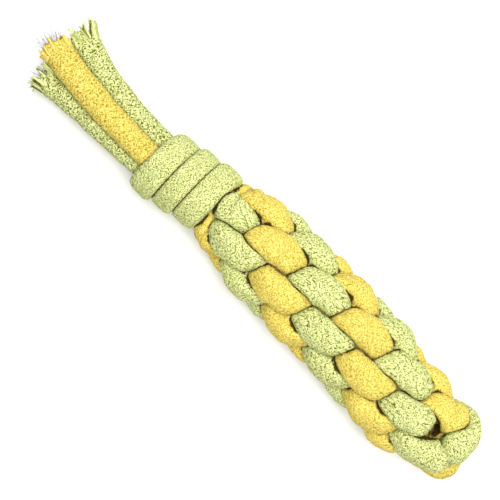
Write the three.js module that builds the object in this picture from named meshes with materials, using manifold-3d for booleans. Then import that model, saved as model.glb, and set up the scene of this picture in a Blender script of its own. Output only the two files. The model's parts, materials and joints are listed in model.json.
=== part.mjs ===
// Rope dog toy: one green and one yellow braided cotton cord, each folded in half at the woven end
// and worked together into a round four-strand crown sinnet. A third cord whips the four legs, and
// past the whipping they run free as four tails, with white cores showing at the cut ends.
// Millimetres. +X runs along the toy to the tails, +Z is up, and the toy lies on z = 0.
// Angles round the toy's axis start at the top and grow towards -Y.

import * as THREE from "three";
import { mergeVertices } from "three/addons/utils/BufferGeometryUtils.js";
import Module from "manifold-3d";

const { clamp, degToRad, euclideanModulo, lerp, smoothstep } = THREE.MathUtils;

// Cord
const CORD_RADIUS = 5;
const STITCH_SWELL = 1.3; // how far the loose side of a stitch stands proud of the cord's own radius
const STITCH_SPREAD = 1.8; // how far a stitch spreads sideways, where its neighbours leave it room
const STITCH_SQUARENESS = 2.4; // 2 is an ellipse
const CORD_GAP = 0.8; // clearance between cords that press on each other
const CORE_GAP = 2; // the same where they cross inside the sinnet and bend hard
const CUT_GAP = 0.3; // least clearance, where a cord is cut back from its neighbour
const INSIDE_BEND = 0.8; // share of its bend radius that the inside of a bend may fill

// Sinnet
const ROWS = 11;
const ROW_PITCH = 11.1;
const ROW_TURN = degToRad(43.4); // each row of four stitches is turned this far past the last
const FIRST_ROW_ANGLE = degToRad(119.5);
const END_SLACK = degToRad(15); // the first rows are turned less, by this much in all
const SLACK_ROWS = 3.5;
const FIRST_ROW_ALONG = 18; // from the woven end to the middle of the first row
const STITCH_RING = 13.5; // middle of a stitch to the axis
const END_RING = 10.5; // the same, in the first row
const NECK_RING = 9.6; // the same, in the last row, below the whipping
const TAPER_ROWS = 2.6; // rows over which both ends draw in
const RING_FULLNESS = 1.9; // keeps a strand out at the rim before it turns in to cross
const LANE = 5; // a crossing strand passes this far beside the axis, less where the rows draw in
const CROSSING_RISE = 3.6; // a strand climbs over one neighbour and dips under the next
const RISE_SHARPNESS = 0.2;
const LEAN = 0.05; // the stitches lean by this much, in radians round the axis
const END_SETTLE = 0.6; // share of its dip that the second row leaves out before it turns in
const END_CENTRE = 20; // the woven end bulges round a point this far along the axis

// Bights at the woven end: depth below the first row, distance from the axis, angle in degrees
const GREEN_BIGHT = [
  [5, 10.2, -36],
  [8, 9.4, -25],
  [9.2, 8, -2],
  [9.2, 8.2, 30],
  [9, 8.8, 60],
  [7.5, 9.4, 90],
  [3.5, 10.2, 120],
];
const YELLOW_BIGHT = [
  [4.5, 9.8, 56],
  [6.2, 6.2, 60],
  [6.8, 1.5, 75],
  [10.2, 4.2, 225],
  [13.3, 8.5, 228],
  [8, 10.2, 226],
];

// Sideways bow of the axis, towards +Y
const END_SHIFT = 0.8; // at the woven end
const FOOT_BOW = 1.9;
const FOOT_BOW_ALONG = 28;
const BODY_BOW = -1.3;
const BODY_BOW_ALONG = 66;
const NECK_SHIFT = -1.8; // at the whipping's lower edge
const MOUTH_SHIFT = 2.4; // at its upper edge

// Whipping
const WHIP_START = 135.2; // from the woven end to the whipping's lower edge
const WHIP_PITCH = 9.7;
const WHIP_TURNS = 3; // turns that show on top
const WHIP_LEVEL = 0.75; // a turn lies nearly square on top and climbs underneath: 1 is quite square
const WHIP_RING = 11.3; // middle of the whipping cord to the axis
const WHIP_HALF_THICKNESS = 3; // pulled flat against the bundle
const WHIP_HALF_WIDTH = 4.9; // before its turns press on each other
const WHIP_SQUARENESS = 2.6; // 2 is an ellipse
const WHIP_TUCK_RING = 7.2; // its ends dive to this distance from the axis
const WHIP_TUCK_TURN = 0.12; // share of a turn in which an end dives
const WHIP_LOWER_TUCK_ANGLE = degToRad(146); // the ends go in between two strands, underneath
const WHIP_UPPER_TUCK_ANGLE = degToRad(225);
const BUNDLE_RING = 5.2; // middle of a strand to the axis inside the whipping
const NECK_DRAW = 0.55; // share of its way up the neck in which a strand draws in to the bundle

// Tails
const FIRST_TAIL_ANGLE = degToRad(-90); // where the first green strand comes out of the whipping
const HINGE_RISE = 2.6; // bending point of a tail above the whipping's upper edge
const TAIL_RING = 6; // bending point to the axis
const ROOT_RADIUS = 3.6; // rounded foot of a tail, seated in the mouth of the whipping
const ROOT_LENGTH = 8; // a tail swells from its foot to its full section over this length
const SEAT_GAP = 0.5; // below the foot
const CORE_RADIUS = 2.9;
const CORE_FIT = 0.3;
const CORE_START = 15; // from the bending point to the bottom of the core
const TAIL_SAG = 0.6; // slope of a tail's fall where it leaves the whipping, against its mean
const FLARE_START = 0.7; // share of its length from which a tail widens to its frayed tip
// Each tail: length of its sheath, its tip's distance to the right, how late it curls that way (1 is
// straight), its tip's height over the surface, the tip's radius, and how far the core stands out
const LEFT_LENGTH = 48.5;
const LEFT_TIP_RIGHT = -10;
const LEFT_CURL = 0.8;
const LEFT_TIP_HEIGHT = 12;
const LEFT_TIP_RADIUS = 4.8;
const LEFT_CORE_PROUD = 4.2;
const FRONT_LENGTH = 53;
const FRONT_TIP_RIGHT = 0.4;
const FRONT_CURL = 1;
const FRONT_TIP_HEIGHT = 19.5;
const FRONT_TIP_RADIUS = 6;
const FRONT_CORE_PROUD = 4.4;
const RIGHT_LENGTH = 49.3;
const RIGHT_TIP_RIGHT = 10.6;
const RIGHT_CURL = 2;
const RIGHT_TIP_HEIGHT = 11.5;
const RIGHT_TIP_RADIUS = 5.8;
const RIGHT_CORE_PROUD = 1.2;
const BACK_LENGTH = 46.5;
const BACK_TIP_RIGHT = 0;
const BACK_CURL = 1;
const BACK_TIP_HEIGHT = 5.3;
const BACK_TIP_RADIUS = 5;
const BACK_CORE_PROUD = 2.5;

const REST_FLAT = 1; // depth of the flat that the toy lies on

// Facets
const STEPS_PER_ROW = 40; // points on a strand's middle line
const BIGHT_STEPS = 40;
const NECK_STEPS = 36;
const WHIP_STEPS_PER_TURN = 72;
const TAIL_STEPS = 12;
const RING_STEP = 4.2; // a ring of facets follows after this length or this turn, whichever is first
const RING_TURN = degToRad(26);
const SIDES = 10;
const ROOT_RINGS = 3;

const GREEN = 0xc3cb78;
const YELLOW = 0xe8c850;
const WHITE = 0xece8dc;
const COTTON_ROUGHNESS = 0.95;

const STITCH_RADIUS = CORD_RADIUS + STITCH_SWELL;
const NEAR = 3 * STITCH_RADIUS; // cords whose middle lines are further apart don't touch
const OWN_STRETCH = Math.PI * WHIP_RING; // a cord doesn't press on itself within this length
const STRANDS = 4;
const STRAND_STEP = (2 * Math.PI) / STRANDS;
const LAST_ROW = ROWS - 1;
const WHIP_LENGTH = WHIP_PITCH * WHIP_TURNS;
const MOUTH = WHIP_START + WHIP_LENGTH;
const HINGE_ALONG = MOUTH + HINGE_RISE;
const STUB_END = HINGE_ALONG - ROOT_RADIUS - SEAT_GAP;
const AXIS_BOW = [
  [0, END_SHIFT],
  [FOOT_BOW_ALONG, FOOT_BOW],
  [BODY_BOW_ALONG, BODY_BOW],
  [WHIP_START, NECK_SHIFT],
  [MOUTH, MOUTH_SHIFT],
];

// In their order round the mouth of the whipping
const TAILS = [
  {
    name: "green_tail_left",
    length: LEFT_LENGTH,
    right: LEFT_TIP_RIGHT,
    curl: LEFT_CURL,
    height: LEFT_TIP_HEIGHT,
    tip: LEFT_TIP_RADIUS,
    proud: LEFT_CORE_PROUD,
  },
  {
    name: "yellow_tail_front",
    length: FRONT_LENGTH,
    right: FRONT_TIP_RIGHT,
    curl: FRONT_CURL,
    height: FRONT_TIP_HEIGHT,
    tip: FRONT_TIP_RADIUS,
    proud: FRONT_CORE_PROUD,
  },
  {
    name: "green_tail_right",
    length: RIGHT_LENGTH,
    right: RIGHT_TIP_RIGHT,
    curl: RIGHT_CURL,
    height: RIGHT_TIP_HEIGHT,
    tip: RIGHT_TIP_RADIUS,
    proud: RIGHT_CORE_PROUD,
  },
  {
    name: "yellow_tail_back",
    length: BACK_LENGTH,
    right: BACK_TIP_RIGHT,
    curl: BACK_CURL,
    height: BACK_TIP_HEIGHT,
    tip: BACK_TIP_RADIUS,
    proud: BACK_CORE_PROUD,
  },
];

function bow(along) {
  let shift = END_SHIFT;
  for (let knot = 1; knot < AXIS_BOW.length; knot += 1) {
    const [start, before] = AXIS_BOW[knot - 1];
    const [end, after] = AXIS_BOW[knot];
    shift += (after - before) * smoothstep(along, start, end);
  }
  return shift;
}

// A point at a distance from the axis.
function around(along, radius, angle) {
  return new THREE.Vector3(along, bow(along) - radius * Math.sin(angle), radius * Math.cos(angle));
}

// The way from the axis out to a point, and at the woven end the way out from the bulge's centre.
function outFromAxis(point) {
  const foot = Math.max(point.x, END_CENTRE);
  return new THREE.Vector3(point.x - foot, point.y - bow(foot), point.z);
}

function ringOf(row) {
  const fromEnd = 1 - clamp(row / TAPER_ROWS, 0, 1);
  const fromNeck = 1 - clamp((LAST_ROW - row) / TAPER_ROWS, 0, 1);
  const endDraw = (STITCH_RING - END_RING) * fromEnd ** 2;
  const neckDraw = (STITCH_RING - NECK_RING) * fromNeck ** 2;
  return STITCH_RING - endDraw - neckDraw;
}

// Middle line of a strand in the sinnet. Whole rows are the middles of its stitches on the outside,
// and half way between two rows it crosses to the far side, over one neighbour and under the next.
function weave(row, strand) {
  const half = Math.PI * row;
  const ring = ringOf(row);
  const across = (ring + RING_FULLNESS) * Math.cos(half) - RING_FULLNESS * Math.cos(3 * half);
  const aside = -LANE * (ring / STITCH_RING) * Math.sin(half);
  const wave = CROSSING_RISE * Math.sin(2 * half) - RISE_SHARPNESS * Math.sin(4 * half);
  const turnsIn = row > 0.5 && row < 1;
  const rise = turnsIn ? wave * (1 - END_SETTLE * Math.sin(2 * half) ** 2) : wave;
  const slack = END_SLACK * (1 - smoothstep(row, 0, SLACK_ROWS));
  const lean = LEAN * Math.sin(2 * half);
  const turn = FIRST_ROW_ANGLE + ROW_TURN * row + slack - lean + STRAND_STEP * strand;
  const along = FIRST_ROW_ALONG + ROW_PITCH * row + rise;
  return around(along, Math.hypot(across, aside), turn + Math.atan2(aside, across));
}

// Above the last row a strand runs up into the whipping and turns to its tail's place.
function neck(share, strand) {
  const from = FIRST_ROW_ANGLE + ROW_TURN * LAST_ROW + STRAND_STEP * strand;
  const to = FIRST_TAIL_ANGLE + STRAND_STEP * strand;
  const turn = euclideanModulo(to - from + Math.PI, 2 * Math.PI) - Math.PI;
  const angle = from + turn * smoothstep(share, 0, 1);
  const radius = lerp(NECK_RING, BUNDLE_RING, smoothstep(share, 0, NECK_DRAW));
  return around(lerp(FIRST_ROW_ALONG + ROW_PITCH * LAST_ROW, STUB_END, share), radius, angle);
}

function legPoints(strand) {
  const points = [];
  for (let step = 0; step <= LAST_ROW * STEPS_PER_ROW; step += 1) {
    points.push(weave(step / STEPS_PER_ROW, strand));
  }
  for (let step = 1; step <= NECK_STEPS; step += 1) {
    points.push(neck(step / NECK_STEPS, strand));
  }
  return points;
}

// A folded cord: down one leg, round its bight and up the opposite leg.
function foldedCord(strand, opposite, bight) {
  const down = legPoints(strand).reverse();
  const up = legPoints(opposite);
  const turnPoints = bight.map(([depth, radius, angle]) =>
    around(FIRST_ROW_ALONG - depth, radius, degToRad(angle))
  );
  const route = [down.at(-3), down.at(-2), down.at(-1), ...turnPoints, up[0], up[1], up[2]];
  const curve = new THREE.CatmullRomCurve3(route, false, "centripetal");
  const first = 2 / (route.length - 1);
  const round = [];
  for (let step = 1; step < BIGHT_STEPS; step += 1) {
    round.push(curve.getPoint(lerp(first, 1 - first, step / BIGHT_STEPS)));
  }
  return [...down, ...round, ...up];
}

// The whipping winds up the bundle. Both of its ends dive in between two strands underneath.
function whippingPoints() {
  const lowerTurn = euclideanModulo(Math.PI - WHIP_LOWER_TUCK_ANGLE, 2 * Math.PI) / (2 * Math.PI);
  const upperBack = euclideanModulo(WHIP_UPPER_TUCK_ANGLE - Math.PI, 2 * Math.PI) / (2 * Math.PI);
  const upperTurn = WHIP_TURNS - upperBack;
  const steps = Math.round((upperTurn - lowerTurn) * WHIP_STEPS_PER_TURN);
  const points = [];
  for (let step = 0; step <= steps; step += 1) {
    const turn = lerp(lowerTurn, upperTurn, step / steps);
    const toEnd = Math.min(turn - lowerTurn, upperTurn - turn) / WHIP_TUCK_TURN;
    const radius = lerp(WHIP_TUCK_RING, WHIP_RING, smoothstep(toEnd, 0, 1));
    const wound = 2 * Math.PI * turn;
    const climb = turn + (WHIP_LEVEL * Math.sin(wound)) / (2 * Math.PI);
    points.push(around(WHIP_START + WHIP_PITCH * climb, radius, Math.PI - wound));
  }
  return points;
}

// A tail leaves the mouth of the whipping, spreads a little and sinks under its own weight.
function tailPoint(tail, angle, distance, floor) {
  const root = around(HINGE_ALONG, TAIL_RING, angle);
  const share = distance / tail.length;
  const side = lerp(root.y, -tail.right, share ** tail.curl);
  const level = lerp(root.z, floor + tail.height, share * lerp(TAIL_SAG, 1, share));
  return new THREE.Vector3(HINGE_ALONG + distance, side, level);
}

function tailPoints(tail, angle, floor) {
  const points = [];
  for (let step = 0; step <= TAIL_STEPS; step += 1) {
    points.push(tailPoint(tail, angle, (tail.length * step) / TAIL_STEPS, floor));
  }
  return points;
}

// Frames that follow a line of points without twisting round it, and the bend at each point.
function framesAlong(points) {
  const frames = [];
  let travelled = 0;
  points.forEach((point, index) => {
    const before = points[Math.max(index - 1, 0)];
    const after = points[Math.min(index + 1, points.length - 1)];
    const tangent = after.clone().sub(before).normalize();
    const previous = frames.at(-1);
    const guide = previous ? previous.normal : new THREE.Vector3(0, 0, 1);
    const normal = guide.clone().addScaledVector(tangent, -guide.dot(tangent)).normalize();
    const side = new THREE.Vector3().crossVectors(tangent, normal);
    travelled += previous ? point.distanceTo(previous.point) : 0;
    frames.push({ point, tangent, normal, side, travelled });
  });
  frames.forEach((frame, index) => {
    const before = frames[Math.max(index - 1, 0)];
    const after = frames[Math.min(index + 1, frames.length - 1)];
    const length = after.travelled - before.travelled;
    frame.bend = after.tangent.clone().sub(before.tangent).divideScalar(length);
  });
  return frames;
}

function directionsOf(frame) {
  return Array.from({ length: SIDES }, (_, index) => {
    const angle = (2 * Math.PI * index) / SIDES;
    const outward = frame.normal.clone().multiplyScalar(Math.cos(angle));
    return outward.addScaledVector(frame.side, Math.sin(angle));
  });
}

// How far a cord reaches in one direction: its own free radius, less on the inside of a tight bend,
// and no further than half way to each cord that presses on it there.
function reach(frame, direction, freeRadius, pressing) {
  let radius = freeRadius;
  const outside = smoothstep(outFromAxis(frame.point).length(), LANE, STITCH_RING - CORD_GAP);
  const gap = frame.point.x < WHIP_START ? lerp(CORE_GAP, CORD_GAP, outside) : CORD_GAP;
  const bend = frame.bend.dot(direction);
  if (bend > 0) {
    radius = Math.min(radius, INSIDE_BEND / bend);
  }
  for (const { offset, distance } of pressing) {
    const towards = offset.dot(direction);
    if (towards > 0) {
      radius = Math.min(radius, ((distance - gap) * distance) / (2 * towards));
    }
  }
  return radius;
}

// Points of every cord near a frame, without the frame's own stretch of its own cord.
function pressingOn(frame, own, cords) {
  const pressing = [];
  for (const cord of cords) {
    for (const other of cord.frames) {
      if (cord === own && Math.abs(other.travelled - frame.travelled) < OWN_STRETCH) {
        continue;
      }
      const offset = other.point.clone().sub(frame.point);
      const distance = offset.length();
      if (distance < NEAR) {
        pressing.push({ offset, distance });
      }
    }
  }
  return pressing;
}

// One closed skin over rings of points, each end drawn to a middle point.
function skin(rings, firstMiddle, lastMiddle) {
  const points = [...rings.flat(), firstMiddle, lastMiddle];
  const index = [];
  const first = points.length - 2;
  const last = points.length - 1;
  const lastRing = (rings.length - 1) * SIDES;
  for (let side = 0; side < SIDES; side += 1) {
    const next = (side + 1) % SIDES;
    index.push(first, next, side);
    index.push(last, lastRing + side, lastRing + next);
    for (let ring = 0; ring < lastRing; ring += SIDES) {
      index.push(ring + side, ring + next, ring + SIDES + next);
      index.push(ring + side, ring + SIDES + next, ring + SIDES + side);
    }
  }
  const geometry = new THREE.BufferGeometry().setFromPoints(points);
  geometry.setIndex(index);
  geometry.computeVertexNormals();
  return geometry;
}

function ringAt(frame, radiusIn) {
  return directionsOf(frame).map((direction) =>
    frame.point.clone().addScaledVector(direction, radiusIn(direction))
  );
}

// The frames that carry a ring of facets, closer together where the cord bends.
function ringFrames(frames) {
  const kept = [frames[0]];
  for (const frame of frames.slice(1, -1)) {
    const last = kept.at(-1);
    const stepped = frame.travelled - last.travelled >= RING_STEP;
    const turned = frame.tangent.angleTo(last.tangent) >= RING_TURN;
    if (stepped || turned) {
      kept.push(frame);
    }
  }
  return [...kept, frames.at(-1)];
}

// Rings of a cord, pressed in by its neighbours, with something extra all round.
function cordRings(cord, cords, extra) {
  return ringFrames(cord.frames).map((frame) => {
    const pressing = pressingOn(frame, cord, cords);
    return ringAt(frame, (direction) => {
      const freeRadius = cord.freeRadius(direction, frame);
      return reach(frame, direction, freeRadius, pressing) + extra;
    });
  });
}

function cordGeometry(rings, frames) {
  return skin(rings, frames[0].point, frames.at(-1).point);
}

// A tail's sheath: rounded foot, squeezed root, free length, and a bore for the core from the tip.
function sheathGeometry(tail, cords) {
  const [root] = tail.frames;
  const rings = [];
  for (let ring = 1; ring <= ROOT_RINGS; ring += 1) {
    const latitude = (Math.PI / 2) * (ring / (ROOT_RINGS + 1));
    const centre = root.point.clone().addScaledVector(root.tangent, -ROOT_RADIUS * Math.cos(latitude));
    rings.push(ringAt({ ...root, point: centre }, () => ROOT_RADIUS * Math.sin(latitude)));
  }
  for (const frame of tail.frames) {
    const pressing = pressingOn(frame, tail, cords);
    const grown = smoothstep(frame.travelled, 0, ROOT_LENGTH);
    const flare = smoothstep(frame.travelled / tail.length, FLARE_START, 1);
    const free = lerp(lerp(ROOT_RADIUS, CORD_RADIUS, grown), tail.tip, flare);
    rings.push(ringAt(frame, (direction) => reach(frame, direction, free, pressing)));
  }
  const bored = tail.frames.filter((frame) => frame.travelled > CORE_START).reverse();
  for (const frame of bored) {
    rings.push(ringAt(frame, () => CORE_RADIUS + CORE_FIT));
  }
  const foot = root.point.clone().addScaledVector(root.tangent, -ROOT_RADIUS);
  return skin(rings, foot, bored.at(-1).point);
}

function coreGeometry(tail) {
  const bored = tail.frames.filter((frame) => frame.travelled > CORE_START);
  const lowest = bored[0];
  const tip = bored.at(-1);
  const bottom = lowest.point.clone().addScaledVector(lowest.tangent, CORE_FIT);
  const top = tip.point.clone().addScaledVector(tip.tangent, tail.proud);
  const stretch = [{ ...lowest, point: bottom }, ...bored.slice(1), { ...tip, point: top }];
  const rings = stretch.map((frame) => ringAt(frame, () => CORE_RADIUS));
  return skin(rings, bottom, top);
}

const wasm = await Module();
wasm.setup();

function solidOf(geometry) {
  const vertProperties = Float32Array.from(geometry.getAttribute("position").array);
  const triVerts = Uint32Array.from(geometry.index.array);
  return new wasm.Manifold(new wasm.Mesh({ numProp: 3, vertProperties, triVerts }));
}

// Everything below the surface that the toy lies on.
function groundSolid(floor) {
  const size = 2 * (MOUTH + STITCH_RING);
  const block = new THREE.BoxGeometry(size, size, size);
  block.deleteAttribute("normal");
  block.deleteAttribute("uv");
  return solidOf(mergeVertices(block).translate(0, 0, floor - size / 2));
}

// Cuts a solid back from its neighbours and leaves out the crumbs.
function cutBack(geometry, neighbours) {
  let solid = solidOf(geometry);
  for (const neighbour of neighbours) {
    solid = solid.subtract(neighbour);
  }
  const [largest] = solid.decompose().sort((one, other) => other.volume() - one.volume());
  const mesh = largest.getMesh();
  const cut = new THREE.BufferGeometry();
  cut.setAttribute("position", new THREE.BufferAttribute(mesh.vertProperties, 3));
  cut.setIndex(new THREE.BufferAttribute(mesh.triVerts, 1));
  cut.computeVertexNormals();
  return cut;
}

// Least distance between points of one cord's rings, its own near stretch left out.
function leastGapToItself(cord, rings) {
  const frames = ringFrames(cord.frames);
  let least = Infinity;
  rings.forEach((ring, index) => {
    for (let other = index + 1; other < rings.length; other += 1) {
      const apart = frames[other].travelled - frames[index].travelled;
      const near = frames[other].point.distanceTo(frames[index].point) < NEAR;
      if (apart > OWN_STRETCH && near) {
        for (const point of ring) {
          for (const facing of rings[other]) {
            least = Math.min(least, point.distanceTo(facing));
          }
        }
      }
    }
  });
  return least;
}

function piece(name, geometry, colour) {
  const material = new THREE.MeshStandardMaterial({
    color: colour,
    roughness: COTTON_ROUGHNESS,
    metalness: 0,
  });
  const mesh = new THREE.Mesh(geometry, material);
  mesh.name = name;
  return mesh;
}

// Free radius of a cord that is flattened towards the axis.
function flattened(thick, wide, squareness) {
  return (direction, frame) => {
    const outward = outFromAxis(frame.point).normalize();
    const share = Math.min(Math.abs(direction.dot(outward)), 1);
    const side = Math.sqrt(1 - share ** 2);
    return ((share / thick) ** squareness + (side / wide) ** squareness) ** (-1 / squareness);
  };
}

const stitchRadius = flattened(STITCH_RADIUS, CORD_RADIUS + STITCH_SPREAD, STITCH_SQUARENESS);

const greenCord = {
  name: "green_cord",
  colour: GREEN,
  frames: framesAlong(foldedCord(2, 0, GREEN_BIGHT)),
  freeRadius: stitchRadius,
};
const yellowCord = {
  name: "yellow_cord",
  colour: YELLOW,
  frames: framesAlong(foldedCord(3, 1, YELLOW_BIGHT)),
  freeRadius: stitchRadius,
};
const whipping = {
  name: "whipping_cord",
  colour: GREEN,
  frames: framesAlong(whippingPoints()),
  freeRadius: flattened(WHIP_HALF_THICKNESS, WHIP_HALF_WIDTH, WHIP_SQUARENESS),
};

const wovenFrames = [...greenCord.frames, ...yellowCord.frames];
const lowest = Math.min(...wovenFrames.map((frame) => frame.point.z));
const floor = lowest - STITCH_RADIUS + REST_FLAT;

const tails = TAILS.map((tail, strand) => ({
  ...tail,
  colour: strand % 2 === 0 ? GREEN : YELLOW,
  frames: framesAlong(tailPoints(tail, FIRST_TAIL_ANGLE + STRAND_STEP * strand, floor)),
}));
const cords = [greenCord, yellowCord, whipping, ...tails];

const toy = new THREE.Group();
const neighbours = [groundSolid(floor)];
for (const cord of [greenCord, yellowCord, whipping]) {
  const rings = cordRings(cord, cords, 0);
  toy.add(piece(cord.name, cutBack(cordGeometry(rings, cord.frames), neighbours), cord.colour));
  neighbours.push(solidOf(cordGeometry(cordRings(cord, cords, CUT_GAP), cord.frames)));
  console.log(`${cord.name}: least gap to itself ${leastGapToItself(cord, rings).toFixed(2)} mm`);
}
for (const tail of tails) {
  toy.add(piece(tail.name, sheathGeometry(tail, cords), tail.colour));
  toy.add(piece(`${tail.name}_core`, coreGeometry(tail), WHITE));
}

const box = new THREE.Box3().setFromObject(toy);
const middle = box.getCenter(new THREE.Vector3());
toy.position.set(-middle.x, -middle.y, -floor);

export default toy;
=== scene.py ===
# Looks of the rope dog toy: braided cotton cords in a crown sinnet, a whipping and frayed tails.
# Metres. +X runs along the toy to the tails, +Z is up, and the toy lies on z = 0.
# Angles round the toy's axis start at the top and grow towards -Y.
# Places along the axis start at its woven end.

import json
import math

import bpy
import numpy as np
from mathutils import Matrix, Vector


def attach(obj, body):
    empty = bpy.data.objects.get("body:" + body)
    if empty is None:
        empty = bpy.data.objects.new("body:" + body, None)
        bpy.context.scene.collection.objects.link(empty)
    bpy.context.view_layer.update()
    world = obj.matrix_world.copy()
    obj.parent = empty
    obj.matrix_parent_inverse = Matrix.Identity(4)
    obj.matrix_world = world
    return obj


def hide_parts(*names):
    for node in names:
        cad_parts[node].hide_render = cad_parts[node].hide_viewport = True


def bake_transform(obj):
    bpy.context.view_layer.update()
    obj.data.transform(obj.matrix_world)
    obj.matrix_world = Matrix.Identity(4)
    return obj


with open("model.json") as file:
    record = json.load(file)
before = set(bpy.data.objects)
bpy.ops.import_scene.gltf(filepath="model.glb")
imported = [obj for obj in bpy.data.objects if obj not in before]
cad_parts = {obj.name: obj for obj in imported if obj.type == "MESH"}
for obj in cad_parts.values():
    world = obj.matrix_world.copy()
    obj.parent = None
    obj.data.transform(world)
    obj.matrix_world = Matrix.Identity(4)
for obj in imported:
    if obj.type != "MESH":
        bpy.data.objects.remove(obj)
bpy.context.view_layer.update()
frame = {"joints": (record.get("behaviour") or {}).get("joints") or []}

FULL_TURN = 2 * math.pi
TINY = 1e-9  # least divisor
SEED = 11
LUMP_SEED = 5

# Cord
CORD_RADIUS = 0.005
STITCH_SWELL = 0.0018  # how far the middle of a stitch stands proud of the cord's own radius
STITCH_END_SWELL = -0.0012  # the same at its ends, which are drawn thin
STITCH_SPREAD = 0.0018  # how far a stitch spreads sideways, where its neighbours leave it room
STITCH_SQUARENESS = 2.4  # power of a stitch's oval section, 2 being an ellipse
STITCH_WAIST = 0.18  # the middle of a stitch gives way to its neighbours by this share
PRESSED_GAP = 0.0001  # clearance left between cords that press on each other
PRESS_STEP = 0.001  # distance between the points of a cord that press on its neighbours
PRESS_SOFTNESS = 0.0011  # rounding of the edge between a pressed face and a free one
PRESS_EASE = 2  # times that a sheath's radius is evened out
INSIDE_BEND = 0.8  # share of its bend radius that the inside of a bend may fill
LUMP = 0.035  # unevenness of a cord's thickness, as a share
LUMP_WAVES = 5
LUMP_LENGTHS = (0.006, 0.02)

# Sinnet
STRANDS = 4
STRAND_STEP = FULL_TURN / STRANDS
GREEN_STRANDS = (2, 0)  # down one and up the other
YELLOW_STRANDS = (3, 1)
ROWS = 11
LAST_ROW = ROWS - 1
ROW_PITCH = 0.0111
ROW_TURN = math.radians(43.4)  # each row is turned this far past the last
FIRST_ROW_ALONG = 0.018
FIRST_ROW_ANGLE = math.radians(119.5)
END_SLACK = math.radians(15)  # the first row is turned this much further
SLACK_ROWS = 3.5  # and this many rows take it up
STITCH_RING = 0.0135  # distance of a stitch's middle from the axis
END_RING = 0.0105  # the same in the first row
NECK_RING = 0.0096  # and in the last
TAPER_ROWS = 2.6  # rows over which the ends are drawn in
RING_FULLNESS = 0.0019  # a strand stays out at the ring by this much before it turns in
LANE = 0.005  # distance from the axis at which a strand crosses to the other side
CROSSING_RISE = 0.0036  # how far a strand rises and dips between its stitches
RISE_SHARPNESS = 0.0002
LEAN = 0.05  # the stitches lean by this much, in radians round the axis
END_SETTLE = 0.6  # share of its dip that the second row leaves out before it turns in
SETTLE_ROWS = (0.5, 1)
END_CENTRE = 0.02  # the woven end bulges round a point this far along the axis
NECK_ALONG = FIRST_ROW_ALONG + ROW_PITCH * LAST_ROW
DRAWN_FROM = NECK_ALONG - ROW_PITCH / 2  # the strands lose their swell from here
DRAWN_TO = NECK_ALONG + ROW_PITCH / 4

# Bights at the woven end: depth below the first row, distance from the axis, angle in degrees
GREEN_BIGHT = [
    (0.005, 0.0102, -36),
    (0.008, 0.0094, -25),
    (0.0092, 0.008, -2),
    (0.0092, 0.0082, 30),
    (0.009, 0.0088, 60),
    (0.0075, 0.0094, 90),
    (0.0035, 0.0102, 120),
]
YELLOW_BIGHT = [
    (0.0045, 0.0098, 56),
    (0.0062, 0.0062, 60),
    (0.0068, 0.0015, 75),
    (0.0102, 0.0042, 225),
    (0.0133, 0.0085, 228),
    (0.008, 0.0102, 226),
]

# Sharp folds: share of the radius that is lost, and half the length of cord that is drawn in
BIGHT_FOLD = (0.3, 0.0016)
BIGHT_FOLD_ANGLE = math.radians(-20)  # the green bight folds where it leaves the left stitch
NECK_FOLD = (0.2, 0.0014)
NECK_FOLD_ROW = 10  # the right yellow strand is creased above its last stitch

# The green stitch in the middle ends bluntly above a hole, where it turns in
BLUNT_ROWS = (0.4, 1)
BLUNT_ALONG = 0.0203
BLUNT_SOFTNESS = 0.0016
BLUNT_FIRMNESS = 0.5  # it presses this much harder on its neighbours
BLUNT_REACH = 0.006

# Whipping
WHIP_START = 0.1352
WHIP_PITCH = 0.0097
WHIP_TURNS = 3
WHIP_TIGHTNESS = 0.94  # the turns are drawn together by this share
WHIP_LEVEL = 0.93  # share of its climb that a turn makes underneath, so that it is level on top
WHIP_RING = 0.0113
WHIP_HALF_THICKNESS = 0.003
WHIP_HALF_WIDTH = 0.0062
WHIP_SQUARENESS = 2.6
WHIP_FIRMNESS = 1.4  # the whipping is tight and presses harder than the strands under it
WHIP_TUCK_RING = 0.0072  # its ends are tucked in to this distance from the axis
WHIP_TUCK_TURN = 0.12  # over this share of a turn
WHIP_LOWER_TUCK_ANGLE = math.radians(146)
WHIP_UPPER_TUCK_ANGLE = math.radians(225)
WHIP_PAINTED_SHADE_GAP = 0.00008
BUNDLE_RING = 0.0052  # distance of the strands from the axis inside the whipping
NECK_DRAW = 0.26  # share of the neck over which they are drawn in to it
NECK_HALF_THICKNESS = 0.005
MOUTH = WHIP_START + WHIP_PITCH * WHIP_TURNS

# Tails
FIRST_TAIL_ANGLE = math.radians(-90)
HINGE_RISE = 0.0026  # height of the hinges above the whipping's mouth
TAIL_RING = 0.006  # distance of the tails from the axis at their hinges
TAIL_SAG = 0.6  # slope of a tail's fall at its root, as a share of its mean slope
ROOT_RADIUS = 0.0036
SEAT_GAP = 0.0005
SPLICE = 0.012  # the tails' pieces start this far below the mouth, out of sight
HINGE_ALONG = MOUTH + HINGE_RISE
STUB_END = HINGE_ALONG - ROOT_RADIUS - SEAT_GAP
SPLICE_ALONG = MOUTH - SPLICE
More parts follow.
